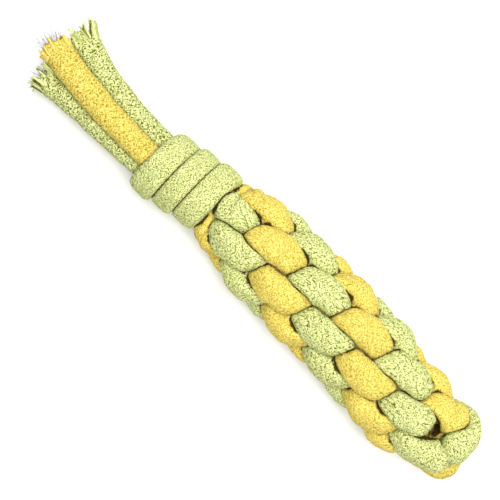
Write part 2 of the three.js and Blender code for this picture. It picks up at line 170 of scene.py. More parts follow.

# Each tail, in the order of the strands round the toy
# length: from its hinge to the cut. thick, tip: its radius, and its radius at the cut
# flare: share of its length at which it starts to widen to the cut
# aside, right: how far its root is shifted and its tip lies towards -Y
# curl: power of the curve between them. height: level of its tip
# painted_shade_gap: it is in painted shade where it comes this near to a neighbour
# proud, fray: reach of its core's filaments and of its loose yarns past the cut
# splay: how far the loose yarns lean out
TAILS = [
    {
        "node": "green_tail_left",
        "body": "left_tail",
        "slot": "green_cotton",
        "length": 0.0485,
        "thick": 0.0046,
        "tip": 0.0054,
        "flare": 0.7,
        "aside": 0.0004,
        "right": -0.0100,
        "curl": 0.8,
        "height": 0.012,
        "painted_shade_gap": 0.0024,
        "proud": 0.0058,
        "fray": 0.0035,
        "splay": 0.2,
    },
    {
        "node": "yellow_tail_front",
        "body": "front_tail",
        "slot": "yellow_cotton",
        "length": 0.053,
        "thick": 0.005,
        "tip": 0.0058,
        "flare": 0.1,
        "aside": -0.0009,
        "right": 0.0008,
        "curl": 2.5,
        "height": 0.0195,
        "painted_shade_gap": 0.0012,
        "proud": 0.0072,
        "fray": 0.0007,
        "splay": 0.15,
    },
    {
        "node": "green_tail_right",
        "body": "right_tail",
        "slot": "green_cotton",
        "length": 0.0493,
        "thick": 0.005,
        "tip": 0.006,
        "flare": 0.7,
        "aside": 0,
        "right": 0.0106,
        "curl": 2,
        "height": 0.0115,
        "painted_shade_gap": 0.0007,
        "proud": 0.0012,
        "fray": 0.0042,
        "splay": 0.2,
    },
    {
        "node": "yellow_tail_back",
        "body": "back_tail",
        "slot": "yellow_cotton",
        "length": 0.0465,
        "thick": 0.005,
        "tip": 0.005,
        "flare": 0.7,
        "aside": 0,
        "right": 0.0,
        "curl": 1,
        "height": 0.0053,
        "painted_shade_gap": 0.0012,
        "proud": 0.0025,
        "fray": 0.003,
        "splay": 0.3,
    },
]

# Points of the routes
STEPS_PER_ROW = 160
NECK_STEPS = 140
BIGHT_STEPS = 60  # from one point of a bight to the next
BIGHT_LEAD = 4  # steps between the points of a leg that lead into its bight
WHIP_STEPS_PER_TURN = 300
TAIL_STEPS = 400
TAIL_EASE = 41  # points over which a tail's route is rounded
LEG_ROWS = np.arange(LAST_ROW * STEPS_PER_ROW + 1) / STEPS_PER_ROW

# Braid of the cord's sheath: ribbons of two yarns slant both ways round it, over one and under one
RIBBONS = 11  # each way
RIBBON_PITCH = 0.0025  # from one ribbon to the next, along the cord
RIBBON_STEPS = 4  # points of the sheath from one ribbon to the next, round the cord and along it
YARNS_PER_RIBBON = 2
HALF_RIBBON = 0.5  # in ribbons
HALF_YARN = HALF_RIBBON / YARNS_PER_RIBBON
BRAID_RELIEF = 0.0003
BRAID_SLIP = 0.0012  # the ribbons slip out of line, before the slip is evened out
SLIP_EASE = 4  # times that it is evened out
STILL_END = 0.003  # they lie in line at the ends of a cord
FLOAT_LEVEL = 0.95  # heights on the ribbons, as shares of the relief
QUARTER_LEVEL = 0.85
EDGE_LEVEL = 0.5
HOLE_LEVEL = 0.1
LEVEL_SPREAD = 0.12
SIDES = RIBBONS * RIBBON_STEPS
RING_STEP = RIBBON_PITCH / RIBBON_STEPS

# Painted shade in creases and folds
PAINTED_SHADE_GAP = 0.00018  # a sheath is in painted shade where it comes this near to a neighbour
CREASE_CORE = 0.35  # share of that gap which is in full shade
FOLD_SHADE = 0.75  # shade in a sharp fold
TAIL_SHADE = 0.66  # the tails' pressed faces show when they bend, so they are shaded less
PAINTED_SHADE_COLOUR = (0.05, 0.026, 0.006)
PAINTED_SHADE_STRENGTH = 0.97
PAINTED_SHADE_SHARPNESS = 3

# Cut ends
CORE_RADIUS = 0.0029
CORE_DEPTH = 0.012
HOLLOW_DEPTH = 0.004
RAGGED_RINGS = 6  # rings of the sheath that are cut unevenly
RAGGED = 0.0009
PLUG_BELOW = 0.0008  # the core's solid part ends this far below the cut
PLUG_SHARE = 0.97  # and fills this share of the core's radius
PLUG_FORM = {"sides": 16, "steps": 4, "taper": 0}

# Filaments of the core
FILAMENTS = 55
FILAMENT_RADIUS = 0.0002
FILAMENT_ROOT = 0.002
FILAMENT_RING = 0.92  # share of the core's radius that they stand in
FILAMENT_SPREAD = 0.45  # lean of the filaments at the edge of the core
FILAMENT_SCATTER = 0.06
FILAMENT_REACH = (0.4, 1)  # shares of the longest one's reach
FILAMENT_BOW = 0.12

# Loose yarns of the sheath, which split into fibres
LOOSE_YARNS = 44
YARN_RADIUS = 0.00046
YARN_ROOT = 0.004
YARN_SWIRL = 0.3  # a loose yarn keeps some of its slant round the cord
YARN_UNTWIST = 0.5  # and loses this share of it towards its end
YARN_SPLAY = (0.3, 1.2)  # shares of the tail's splay
YARN_LEAN = 0.3  # share of its splay with which a yarn leaves the sheath
YARN_CURL = 0.7  # share of it by which the yarn curls out
YARN_REACH = (0.45, 1)  # shares of the longest one's reach
YARN_BOW = 0.12
YARN_SHADE = 0.3  # most shade on a loose yarn
YARN_PLACES = 50  # ribbons of the pattern that its tone is picked from, each way
YARN_CORNER = (0.375, -0.125)  # a point on the middle of a yarn, in ribbons
YARN_FORM = {"sides": 6, "steps": 8, "taper": 0.3}
FIBRES_PER_YARN = 4
FIBRE_RADIUS = 0.00011
FIBRE_ROOT = 0.8  # share of a yarn's length at which it splits
FIBRE_SCATTER = 0.3
FIBRE_REACH = (0.2, 0.6)  # shares of the longest yarn's reach
FIBRE_BOW = 0.3
FIBRE_FORM = {"sides": 4, "steps": 5, "taper": 0.5}

# Texture of the yarns: wobbles and mottles to a ribbon, specks and fuzz to a metre
YARN_GAP = 0.6  # share of a yarn's width that falls away beside it
YARN_DIVE = 0.2  # share of a float over which it dives
YARN_DEPTH = 0.0002
WOBBLE = 0.35
WOBBLES = 1.1
MOTTLES = 0.35
SPECKS = 2400
FUZZ = 5000
FINE_DETAIL = 2
SOFT_DETAIL = 0.5
PAINTED_GAP_SHADE = 0.35  # painted shade in the gaps beside a yarn and where it dives: tone of its crown over that of the gaps
# painted shade in the braid's holes, from the sheath's heights
PAINTED_HOLE_SHADE = 0.25
FUZZ_SHARE = 0.3
MOTTLE_SHARE = 0.2
LEAST_LIGHT = 0.69
BUMP = 0.4
FUZZ_BUMP = 0.5
SPECULAR = 0.05
SHEEN = 0.03
SHEEN_ROUGHNESS = 0.6
LEAST_ROUGHNESS = 0.8
ROUGHNESS_SPREAD = 0.2
# Flecks to a ribbon, across it and along it, the shares of flecks and specks in the tone, its base
WORKED = {"across": 7, "along": 3.2, "flecks": 3.2, "specks": 2.6, "base": -2.55}
LOOSE = {"across": 5.4, "along": 1.6, "flecks": 5.5, "specks": 0.6, "base": -2.77}

# Colours of the cotton, from its darkest tone to its lightest
GREEN_SHADES = [
    (0.0, (0.09, 0.10, 0.012)),
    (0.4, (0.36, 0.40, 0.092)),
    (0.75, (0.59, 0.635, 0.235)),
    (1.0, (0.74, 0.79, 0.36)),
]
YELLOW_SHADES = [
    (0.0, (0.36, 0.25, 0.02)),
    (0.4, (0.60, 0.46, 0.06)),
    (0.75, (0.73, 0.58, 0.122)),
    (1.0, (0.82, 0.68, 0.18)),
]
WHITE_SHADES = [
    (0.0, (0.39, 0.36, 0.38)),
    (0.5, (0.60, 0.57, 0.585)),
    (0.9, (0.77, 0.75, 0.755)),
]
COTTONS = {
    "green_cotton": (GREEN_SHADES, WORKED),
    "yellow_cotton": (YELLOW_SHADES, WORKED),
    "loose_green_cotton": (GREEN_SHADES, LOOSE),
    "loose_yellow_cotton": (YELLOW_SHADES, LOOSE),
    "white_core": (WHITE_SHADES, LOOSE),
}

# Floor and lights. A light's place is to the right, up the picture and above the floor
FLOOR_SIZE = 6
PAPER = (0.95, 0.95, 0.95, 1)
PAPER_ROUGHNESS = 0.9
WHITE_LIGHT = (1, 1, 1, 1)
WORLD_LIGHT = 0.42
KEY_PLACE = (0.45, 0.35, 0.8)
KEY_SIZE = 0.7
KEY_WATTS = 3
OVERHEAD_PLACE = (0.1, 0, 0.9)
OVERHEAD_SIZE = 0.5
OVERHEAD_WATTS = 9.3

# Camera
PIXEL = 0.000378  # width of one of the photo's pixels at the toy
PHOTO_SIDE = 500
PHOTO_POINT = (268, 262)  # where a point of the axis shows, in pixels
PHOTO_POINT_ALONG = 0.1055
IMAGE_RIGHT = Vector((-0.7088, -0.7054, 0))  # the picture's right and top, on the floor
IMAGE_UP = Vector((0.7054, -0.7088, 0))
LENS = 85

NEAR_RADII = 3
NEAR = NEAR_RADII * (CORD_RADIUS + STITCH_SWELL)  # cords further off than this don't press
OWN_STRETCH = math.pi * WHIP_RING  # a cord doesn't press on itself within this length

HINGES = {joint["child"]: np.array(joint["pos_m"]) for joint in frame["joints"]}

# Sideways bow of the axis: place along it, shift towards +Y
MOUTH_SHIFT = 0.0024
AXIS_BOW = [
    (0, 0.0008),
    (0.028, 0.0019),
    (0.066, -0.0013),
    (WHIP_START, -0.0018),
    (MOUTH, MOUTH_SHIFT),
]

# The woven end of the toy's axis, from the places of the hinges
ORIGIN = (HINGES["left_tail"] + HINGES["right_tail"]) / 2 - (HINGE_ALONG, MOUTH_SHIFT, 0)

rng = np.random.default_rng(SEED)
lump_rng = np.random.default_rng(LUMP_SEED)


def smoothstep(value, low=0.0, high=1.0):
    share = np.clip((value - low) / (high - low), 0, 1)
    return share * share * (3 - 2 * share)


def lerp(low, high, share):
    return low + (high - low) * share


def unit(vectors):
    return vectors / np.linalg.norm(vectors, axis=-1, keepdims=True)


# Routes

def bow(along):
    shift = AXIS_BOW[0][1]
    for (start, before), (end, after) in zip(AXIS_BOW, AXIS_BOW[1:]):
        shift = shift + (after - before) * smoothstep(along, start, end)
    return shift


def around(along, radius, angle):
    """Points at places along the axis, distances from it and angles round it."""
    along, radius, angle = np.broadcast_arrays(along, radius, angle)
    aside = bow(along) - radius * np.sin(angle)
    return ORIGIN + np.stack([along, aside, radius * np.cos(angle)], -1)


def ring_of(row):
    """Distance of a row's stitches from the axis."""
    from_end = 1 - np.clip(row / TAPER_ROWS, 0, 1)
    from_neck = 1 - np.clip((LAST_ROW - row) / TAPER_ROWS, 0, 1)
    end_draw = (STITCH_RING - END_RING) * from_end**2
    neck_draw = (STITCH_RING - NECK_RING) * from_neck**2
    return STITCH_RING - end_draw - neck_draw


def weave(row, strand):
    """Middle line of a strand in the sinnet: stitches at whole rows, crossings half way between."""
    half = math.pi * row
    ring = ring_of(row)
    across = (ring + RING_FULLNESS) * np.cos(half) - RING_FULLNESS * np.cos(3 * half)
    aside = -LANE * (ring / STITCH_RING) * np.sin(half)
    wave = CROSSING_RISE * np.sin(2 * half) - RISE_SHARPNESS * np.sin(4 * half)
    turns_in = (row > SETTLE_ROWS[0]) & (row < SETTLE_ROWS[1])
    rise = np.where(turns_in, wave * (1 - END_SETTLE * np.sin(2 * half) ** 2), wave)
    slack = END_SLACK * (1 - smoothstep(row, 0, SLACK_ROWS))
    lean = LEAN * np.sin(2 * half)
    turn = FIRST_ROW_ANGLE + ROW_TURN * row + slack - lean + STRAND_STEP * strand
    along = FIRST_ROW_ALONG + ROW_PITCH * row + rise
    return around(along, np.hypot(across, aside), turn + np.arctan2(aside, across))


def neck(share, strand):
    """Above the last row a strand runs up into the whipping and turns to its tail's place."""
    start = FIRST_ROW_ANGLE + ROW_TURN * LAST_ROW + STRAND_STEP * strand
    end = FIRST_TAIL_ANGLE + STRAND_STEP * strand
    turn = (end - start + math.pi) % FULL_TURN - math.pi
    angle = start + turn * smoothstep(share)
    radius = lerp(NECK_RING, BUNDLE_RING, smoothstep(share, 0, NECK_DRAW))
    return around(lerp(NECK_ALONG, STUB_END, share), radius, angle)


def leg(strand):
    """One strand, from its first stitch to the place inside the whipping where its tail starts."""
    end = (SPLICE_ALONG - NECK_ALONG) / (STUB_END - NECK_ALONG)
    shares = end * np.arange(1, NECK_STEPS + 1) / NECK_STEPS
    return np.concatenate([weave(LEG_ROWS, strand), neck(shares, strand)])


def leg_phase():
    """1 in the middle of a stitch and all along the neck, and -1 where strands cross."""
    return np.concatenate([np.cos(FULL_TURN * LEG_ROWS), np.ones(NECK_STEPS)])


def leg_firmness():
    """How firmly a leg presses on its neighbours: less so in the middle of each stitch."""
    waist = STITCH_WAIST * smoothstep(np.minimum(LEG_ROWS, LAST_ROW - LEG_ROWS))
    return np.concatenate([1 - waist * np.cos(FULL_TURN * LEG_ROWS), np.ones(NECK_STEPS)])


def through(points):
    """Centripetal curve through points, from the third of them to the third from the end."""
    curve = []
    for start in range(2, len(points) - 3):
        before, here, there, after = points[start - 1 : start + 3]
        spans = ((before, here), (here, there), (there, after))
        first, middle, last = [math.sqrt(np.linalg.norm(b - a)) for a, b in spans]
        ahead = (there - here) / middle
        leave = (here - before) / first - (there - before) / (first + middle) + ahead
        reach = ahead - (after - here) / (middle + last) + (after - there) / last
        share = (np.arange(BIGHT_STEPS) / BIGHT_STEPS)[:, None]
        square, cube = share**2, share**3
        curve.append(
            here * (2 * cube - 3 * square + 1)
            + there * (3 * square - 2 * cube)
            + leave * middle * (cube - 2 * square + share)
            + reach * middle * (cube - square)
        )
    return np.concatenate(curve)[1:]


def folded_cord(strand, opposite, bight):
    """Down one leg, round the bight and up the opposite leg."""
    down = leg(strand)[::-1]
    up = leg(opposite)
    turn = [
        around(FIRST_ROW_ALONG - depth, radius, math.radians(angle))
        for depth, radius, angle in bight
    ]
    lead_in = down[[-1 - 2 * BIGHT_LEAD, -1 - BIGHT_LEAD, -1]]
    lead_out = up[[0, BIGHT_LEAD, 2 * BIGHT_LEAD]]
    bight_route = through([*lead_in, *turn, *lead_out])
    bight_ones = np.ones(len(bight_route))
    phase = leg_phase()
    firmness = leg_firmness()
    firmness = np.concatenate([firmness[::-1], bight_ones, firmness])
    line = line_of(np.concatenate([down, bight_route, up]), firmness)
    line["phase"] = np.concatenate([phase[::-1], bight_ones, phase])
    return line


def whipping_route():
    lower = ((math.pi - WHIP_LOWER_TUCK_ANGLE) % FULL_TURN) / FULL_TURN
    upper = WHIP_TURNS - ((WHIP_UPPER_TUCK_ANGLE - math.pi) % FULL_TURN) / FULL_TURN
    turn = np.linspace(lower, upper, round((upper - lower) * WHIP_STEPS_PER_TURN))
    to_end = np.minimum(turn - lower, upper - turn) / WHIP_TUCK_TURN
    radius = lerp(WHIP_TUCK_RING, WHIP_RING, smoothstep(to_end))
    climb = turn + WHIP_LEVEL * np.sin(FULL_TURN * turn) / FULL_TURN
    along = WHIP_START + WHIP_TIGHTNESS * WHIP_PITCH * climb
    return line_of(around(along, radius, math.pi - FULL_TURN * turn), WHIP_FIRMNESS)


def tail_route(tail, angle):
    """From inside the whipping, out of its mouth and down to the tip."""
    below = HINGE_ALONG - SPLICE_ALONG
    distance = np.linspace(-below, tail["length"], TAIL_STEPS)
    share = np.clip(distance / tail["length"], 0, 1)
    radius = lerp(BUNDLE_RING, TAIL_RING, smoothstep(distance, -below, 0))
    root = around(HINGE_ALONG + distance, radius, angle)
    side = lerp(root[:, 1] - tail["aside"], ORIGIN[1] - tail["right"], share ** tail["curl"])
    level = lerp(root[:, 2], tail["height"], share * lerp(TAIL_SAG, 1, share))
    route = np.stack([root[:, 0], side, level], -1)
    margin = TAIL_EASE // 2
    ends = np.pad(route, ((margin, margin), (0, 0)), mode="reflect", reflect_type="odd")
    window = np.hanning(TAIL_EASE + 2)[1:-1]
    window /= window.sum()
    return np.stack([np.convolve(ends[:, axis], window, "valid") for axis in range(3)], -1)


# Cords

def line_of(points, firmness=1.0):
    """Middle line of a cord: length so far, frames that don't twist, bends and firmness."""
    steps = np.linalg.norm(np.diff(points, axis=0), axis=1)
    arc = np.concatenate([[0], np.cumsum(steps)])
    tangents = unit(np.gradient(points, arc, axis=0))
    normals = np.empty_like(points)
    guide = np.array((0, 0, 1.0))
    for index, tangent in enumerate(tangents):
        guide = unit(guide - tangent * guide.dot(tangent))
        normals[index] = guide
    return {
        "arc": arc,
        "point": points,
        "tangent": tangents,
        "normal": normals,
        "bend": np.gradient(tangents, arc, axis=0),
        "firmness": firmness * np.ones(len(points)),
    }


def sample(line, key, arc):
    values = line[key]
    return np.stack([np.interp(arc, line["arc"], values[:, axis]) for axis in range(3)], -1)


def bight_arc(line, fold_angle):
    """Length of a folded cord up to an angle of its bight."""
    offset = line["point"] - ORIGIN
    angle = np.arctan2(bow(offset[:, 0]) - offset[:, 1], offset[:, 2])
    in_bight = offset[:, 0] < FIRST_ROW_ALONG - CORD_RADIUS
    return line["arc"][np.argmin(np.where(in_bight, np.abs(angle - fold_angle), math.pi))]


def row_arc(line, row, first_leg):
    """Length of a folded cord up to a row in one of its legs."""
    from_end = NECK_STEPS + round((LAST_ROW - row) * STEPS_PER_ROW)
    return line["arc"][from_end if first_leg else -1 - from_end]


def flattened(centres, directions, thick, wide, squareness):
    """Radius of a flattened cord that lies flat on the toy's axis, round its end too."""
    along = centres[..., 0] - ORIGIN[0]
    outward = centres - around(np.maximum(along, END_CENTRE), 0, 0)
    share = np.abs((directions * unit(outward)).sum(-1))
    side = np.sqrt(np.maximum(1 - share**2, 0))
    return ((share / thick) ** squareness + (side / wide) ** squareness) ** (-1 / squareness)


def stitch_radius(line):
    """Full in the middle of each stitch, thin where it turns in, and drawn in at the neck."""
    def radius(centres, directions, arc):
        along = centres[..., 0] - ORIGIN[0]
        drawn = smoothstep(along, DRAWN_FROM, DRAWN_TO)
        full = smoothstep(np.interp(arc, line["arc"], line["phase"]))
        thick = CORD_RADIUS + lerp(STITCH_END_SWELL, STITCH_SWELL, full)
        thick = lerp(thick, NECK_HALF_THICKNESS, drawn)
        wide = CORD_RADIUS + STITCH_SPREAD
        return flattened(centres, directions, thick, wide, STITCH_SQUARENESS)
    return radius


def whipping_radius(centres, directions, arc):
    thick, wide = WHIP_HALF_THICKNESS, WHIP_HALF_WIDTH
    return flattened(centres, directions, thick, wide, WHIP_SQUARENESS)


def tail_radius(tail):
    """Even along the tail and wider at the cut."""
    def radius(centres, directions, arc):
        flare = smoothstep(arc / arc.max(), tail["flare"], 1)
        return lerp(tail["thick"], tail["tip"], flare)
    return radius


# Sheaths

def pressing_points(cords):
    """Points of the cords' middle lines, with the cord, the length along it and the firmness."""
    points, owners, arcs, firmness = [], [], [], []
    for number, cord in enumerate(cords):
        line = cord["line"]
        arc = np.arange(0, line["arc"][-1], PRESS_STEP)
        points.append(sample(line, "point", arc))
        owners.append(np.full(len(arc), number))
        arcs.append(arc)
        firmness.append(np.interp(arc, line["arc"], line["firmness"]))
    return [np.concatenate(fields) for fields in (points, owners, arcs, firmness)]


def pressed_radius(number, line, centres, directions, arc, pressing):
    """How far each point of the sheath may reach, ring by ring, before it meets a neighbour."""
    points, owners, arcs, firmness = pressing
    radius = np.full(arc.shape, NEAR)
    for ring in range(len(arc)):
        middle = centres[ring].mean(0)
        place = arc[ring].mean()
        own = (owners == number) & (np.abs(arcs - place) < OWN_STRETCH)
        others = (np.linalg.norm(points - middle, axis=1) < NEAR) & ~own
        if not others.any():
            continue
        offsets = points[others] - centres[ring][:, None]
        own_firmness = np.interp(place, line["arc"], line["firmness"])
        share = own_firmness / (own_firmness + firmness[others])
        distance = np.linalg.norm(offsets, axis=2)
        towards = np.einsum("jkc,jc->jk", offsets, directions[ring])
        limit = (distance * share - PRESSED_GAP / 2) * distance / np.maximum(towards, TINY)
        radius[ring] = np.where(towards > 0, limit, NEAR).min(1)
    return radius


def soft_least(first, second, softness):
    """The lesser of two values, rounded where they meet."""
    blend = np.clip(0.5 + 0.5 * (second - first) / softness, 0, 1)
    return lerp(second, first, blend) - softness * blend * (1 - blend)


def eased(field, times):
    """Averages each value with its neighbours along and round the cord."""
    for _ in range(times):
        field = (np.roll(field, 1, 1) + 2 * field + np.roll(field, -1, 1)) / 4
        ends = np.pad(field, ((1, 1), (0, 0)), mode="edge")
        field = (ends[:-2] + 2 * field + ends[2:]) / 4
    return field


def braid_slip(rings):
    """How far the ribbons have slipped out of line, from place to place."""
    return BRAID_SLIP * eased(rng.normal(0, 1, (rings, SIDES)), SLIP_EASE)


def braid_heights(rings):
    """Heights on the crossed ribbons: the middles of floats, their quarters, edges and holes."""
    ring, side = np.meshgrid(np.arange(rings), np.arange(SIDES), indexing="ij")
    left = (side + ring) % RIBBON_STEPS
    right = (side - ring) % RIBBON_STEPS
    half = RIBBON_STEPS // 2
    middles = (left == half).astype(int) + (right == half)
    level = np.choose(middles, [HOLE_LEVEL, EDGE_LEVEL, FLOAT_LEVEL])
    level = np.where(left % half, QUARTER_LEVEL, level)
    return np.clip(level + LEVEL_SPREAD * rng.normal(0, 1, level.shape), 0, 1)


def lumps(arc, angle):
    """Slight unevenness of a cord's thickness, in waves that run straight or wind either way."""
    waves = np.zeros(arc.shape)
    for _ in range(LUMP_WAVES):
        length = lump_rng.uniform(*LUMP_LENGTHS)
        side = lump_rng.integers(-1, 2)
        waves += np.sin(FULL_TURN * (arc / length + lump_rng.uniform()) + side * angle)
    return 1 + LUMP * waves / math.sqrt(LUMP_WAVES)


def sheath_frame(line, arc, angle):
    """Middles of a cord and directions out of it, at lengths along it and angles round it."""
    centres = sample(line, "point", arc)
    tangents = unit(sample(line, "tangent", arc))
    normals = sample(line, "normal", arc)
    normals = unit(normals - tangents * (normals * tangents).sum(-1, keepdims=True))
    crosses = np.cross(tangents, normals)
    return centres, np.cos(angle)[..., None] * normals + np.sin(angle)[..., None] * crosses


def cut_blunt(radius, centres, directions, arc, stretch):
    """Keeps a stretch of the sheath above a place along the axis."""
    start, end = stretch
    down = np.maximum(-directions[..., 0], TINY)
    reach = (centres[..., 0] - ORIGIN[0] - BLUNT_ALONG) / down
    cut = soft_least(radius, np.minimum(reach, NEAR), BLUNT_SOFTNESS)
    return np.where((arc > start) & (arc < end), cut, radius)


def braid(number, cord, pressing):
    """A braided sheath that swells until it presses on its neighbours."""
    line = cord["line"]
    rings = int(line["arc"][-1] / RING_STEP) + 1
    arc = np.tile(np.linspace(0, line["arc"][-1], rings)[:, None], SIDES)
    still = smoothstep(np.minimum(arc, arc.max() - arc), 0, STILL_END)
    angle = FULL_TURN * np.arange(SIDES)[None] / SIDES + braid_slip(rings) * still / CORD_RADIUS
    arc = arc + braid_slip(rings) * still
    centres, directions = sheath_frame(line, arc, angle)
    free = cord["free"](centres, directions, arc) * lumps(arc, angle)
    pressed = pressed_radius(number, line, centres, directions, arc, pressing)
    inward = (sample(line, "bend", arc) * directions).sum(-1)
    limit = np.minimum(pressed, INSIDE_BEND / np.maximum(inward, INSIDE_BEND / NEAR))
    radius = soft_least(free, limit, PRESS_SOFTNESS)
    if "blunt" in cord:
        radius = cut_blunt(radius, centres, directions, arc, cord["blunt"])
    fold = np.zeros(arc.shape)
    for place, (depth, reach) in cord.get("folds", []):
        pinch = np.exp(-(((arc - place) / reach) ** 2))
        radius = radius * (1 - depth * pinch)
        fold = np.maximum(fold, pinch)
    radius = eased(radius, PRESS_EASE)

    height = braid_heights(rings)
    points = centres + directions * (radius - BRAID_RELIEF * (1 - height))[..., None]
    points[..., 2] = np.maximum(points[..., 2], 0)
    # Painted shade: darkest where the sheath presses on a neighbour, fading as the gap opens, and
    # in sharp folds; the tails get less of it
    shaded_gap = cord.get("painted_shade_gap", PAINTED_SHADE_GAP)
    near = 1 - smoothstep(pressed - radius, CREASE_CORE * shaded_gap, shaded_gap)
    crease = np.maximum(near, FOLD_SHADE * fold**2)
    if "body" in cord:
        crease = crease * TAIL_SHADE
    return {
        "points": points,
        "height": height,
        "crease": crease,
        "cell": 1 / RIBBON_STEPS,
        "corner": (0, 0),
    }


# Cut ends

def hollow_tip(tube, line):
    """Cuts a sheath unevenly, turns its rim in to the core and closes the hollow out of sight."""
    tip = line["point"][-1]
    tangent = line["tangent"][-1]
    uneven = RAGGED * rng.normal(0, 1, (1, SIDES, 1))
    grows = np.linspace(0, 1, RAGGED_RINGS)[:, None, None]
    tube["points"][-RAGGED_RINGS:] += uneven * grows * tangent
    spoke = tube["points"][-1] - tip
    spoke = unit(spoke - (spoke @ tangent)[:, None] * tangent)
    inner = tip + CORE_RADIUS * spoke
    deep = inner - HOLLOW_DEPTH * tangent
    # The hollow inside the cut end is in full painted shade, and set low in the braid's heights,
    # which darkens it too
    shade = np.ones((2, SIDES))
    tube["points"] = np.concatenate([tube["points"], inner[None], deep[None]])
    tube["height"] = np.concatenate([tube["height"], HOLE_LEVEL * shade])
    tube["crease"] = np.concatenate([tube["crease"], shade])


def strand(root, direction, length, radius, sag, sides, steps, taper):
    """A loose yarn or fibre: a thin closed tube that bows to one side and narrows to its end."""
    share = np.linspace(0, 1, steps + 1)[:, None]
    middle = root + direction * length * share + sag * length * share**2
    tangent = unit(np.gradient(middle, axis=0))
    normal = unit(np.cross(tangent, np.roll(direction, 1)))
    cross = np.cross(tangent, normal)
    angle = (FULL_TURN * np.arange(sides) / sides)[None, :, None]
    spokes = np.cos(angle) * normal[:, None] + np.sin(angle) * cross[:, None]
    points = middle[:, None] + spokes * (radius * (1 - taper * share**2))[:, None]
    points[..., 2] = np.maximum(points[..., 2], 0)
    field = np.ones((steps + 1, sides))
    return {
        "points": points,
        "height": field,
        "crease": field * rng.uniform(0, YARN_SHADE),
        "cell": 0,
        "corner": YARN_CORNER + rng.integers(0, YARN_PLACES, 2),
    }


def tip_spoke(line, angle):
    """Direction from the middle of a cord's tip to its edge."""
    normal = line["normal"][-1]
    cross = np.cross(line["tangent"][-1], normal)
    return math.cos(angle) * normal + math.sin(angle) * cross


def frayed_yarns(tail, line):
    """Yarns that have unravelled at the cut end, each splitting into finer fibres."""
    tip = line["point"][-1]
    tangent = line["tangent"][-1]
    tubes = []
    for _ in range(LOOSE_YARNS):
        spoke = tip_spoke(line, rng.uniform(0, FULL_TURN))
        slant = np.cross(tangent, spoke) * YARN_SWIRL * rng.choice((-1, 1))
        root = tip + spoke * (tail["tip"] - YARN_RADIUS) - (tangent + slant) * YARN_ROOT
        splay = tail["splay"] * rng.uniform(*YARN_SPLAY)
        direction = unit(tangent + slant + YARN_LEAN * splay * spoke)
        length = YARN_ROOT + tail["fray"] * rng.uniform(*YARN_REACH)
        sag = YARN_CURL * splay * spoke - YARN_UNTWIST * slant + rng.normal(0, YARN_BOW, 3)
        tubes.append(strand(root, direction, length, YARN_RADIUS, sag, **YARN_FORM))
        for _ in range(FIBRES_PER_YARN):
            start = root + (direction + sag * FIBRE_ROOT) * length * FIBRE_ROOT
            way = unit(direction + 2 * sag + rng.normal(0, FIBRE_SCATTER, 3))
            reach = rng.uniform(*FIBRE_REACH) * tail["fray"]
            fibre_sag = rng.normal(0, FIBRE_BOW, 3)
            tubes.append(strand(start, way, reach, FIBRE_RADIUS, fibre_sag, **FIBRE_FORM))
    return tubes


def core_fibres(tail, line):
    """The white core: a plug of filaments that stand out of the cut end."""
    tip = line["point"][-1]
    tangent = line["tangent"][-1]
    bottom = tip - CORE_DEPTH * tangent
    plug_length = CORE_DEPTH - PLUG_BELOW
    plug_radius = PLUG_SHARE * CORE_RADIUS
    tubes = [strand(bottom, tangent, plug_length, plug_radius, np.zeros(3), **PLUG_FORM)]
    for _ in range(FILAMENTS):
        spoke = tip_spoke(line, rng.uniform(0, FULL_TURN))
        out = math.sqrt(rng.uniform(0, 1))
        root = tip + FILAMENT_RING * CORE_RADIUS * out * spoke - FILAMENT_ROOT * tangent
        scatter = rng.normal(0, FILAMENT_SCATTER, 3)
        direction = unit(tangent + FILAMENT_SPREAD * out * spoke + scatter)
        length = FILAMENT_ROOT + tail["proud"] * rng.uniform(*FILAMENT_REACH)
        sag = rng.normal(0, FILAMENT_BOW, 3)
        tubes.append(strand(root, direction, length, FILAMENT_RADIUS, sag, **FIBRE_FORM))
    return tubes


# Meshes

def tube_faces(rings, sides):
    ring, side = np.meshgrid(np.arange(rings - 1), np.arange(sides), indexing="ij")
    here = ring * sides + side
    beside = ring * sides + (side + 1) % sides
    return np.stack([here, beside, beside + sides, here + sides], -1).reshape(-1, 4)


def end_faces(rings, sides):
    side = np.arange(sides)
    beside = (side + 1) % sides
    last = (rings - 1) * sides
    middle = np.full(sides, rings * sides)
    lower = np.stack([middle, beside, side], -1)
    upper = np.stack([middle + 1, last + side, last + beside], -1)
    return np.concatenate([lower, upper])


def tube_map(tube):
    """A map in ribbons that runs round and along a tube, with its two ends in one place."""
    rings, sides, _ = tube["points"].shape
    ring, side = np.meshgrid(np.arange(rings - 1), np.arange(sides), indexing="ij")
    across = np.stack([side, side + 1, side + 1, side], -1)
    along = np.stack([ring, ring, ring + 1, ring + 1], -1)
    wall = tube["corner"] + tube["cell"] * np.stack([across, along], -1)
    triangle_corners = end_faces(rings, sides).size
    return np.concatenate([wall.reshape(-1, 2), np.tile(YARN_CORNER, (triangle_corners, 1))])


